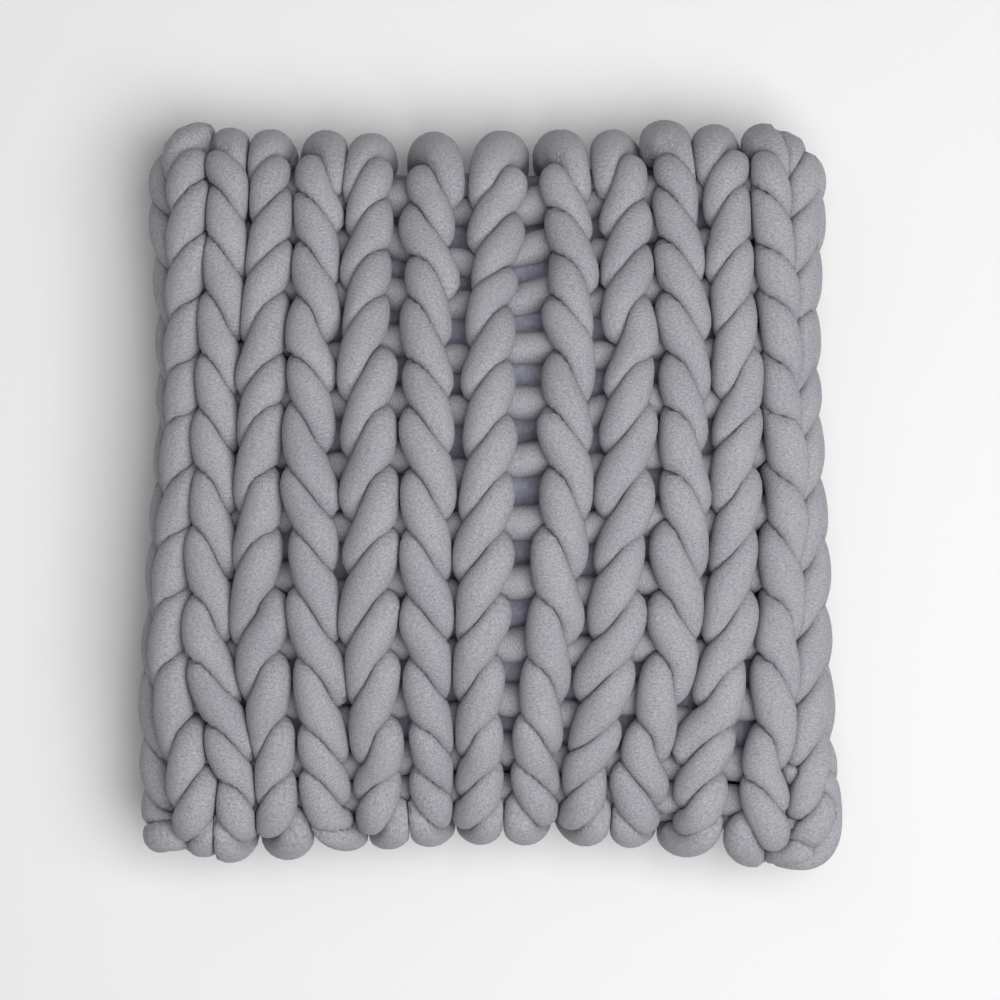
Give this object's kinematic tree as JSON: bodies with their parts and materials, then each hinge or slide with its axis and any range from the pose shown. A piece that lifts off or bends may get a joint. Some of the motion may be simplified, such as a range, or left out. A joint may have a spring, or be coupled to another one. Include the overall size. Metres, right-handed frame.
{
  "type": "throw pillow",
  "caption": "Square throw pillow: a soft inner cushion inside a chunky hand-knitted cover of thick stuffed tube yarn.",
  "frame": {"origin": "centre of the pillow's footprint, on the surface it lies on", "axes": "+Z through the thickness, out of the knitted front; +Y towards the top edge; +X to the right seen from the front"},
  "size_m": [0.4552, 0.4848, 0.1529],
  "materials": {
    "yarn": "soft matte heather-grey cotton jersey tube, stuffed",
    "cushion_fabric": "plain-woven lavender-grey fabric with a faint sheen",
    "fibre": "off-white polyester fibre"
  },
  "bodies": {
    "root": {"knit_round_01": "yarn", "knit_round_02": "yarn", "knit_round_03": "yarn", "knit_round_04": "yarn", "knit_round_05": "yarn", "knit_round_06": "yarn", "knit_round_07": "yarn", "knit_round_08": "yarn", "knit_round_09": "yarn", "knit_round_10": "yarn", "knit_round_11": "yarn", "knit_round_12": "yarn", "top_joining_strand": "yarn", "bottom_joining_strand": "yarn", "cushion_cover_front": "cushion_fabric", "cushion_cover_back": "cushion_fabric", "cushion_fill": "fibre"}
  },
  "joints": []
}
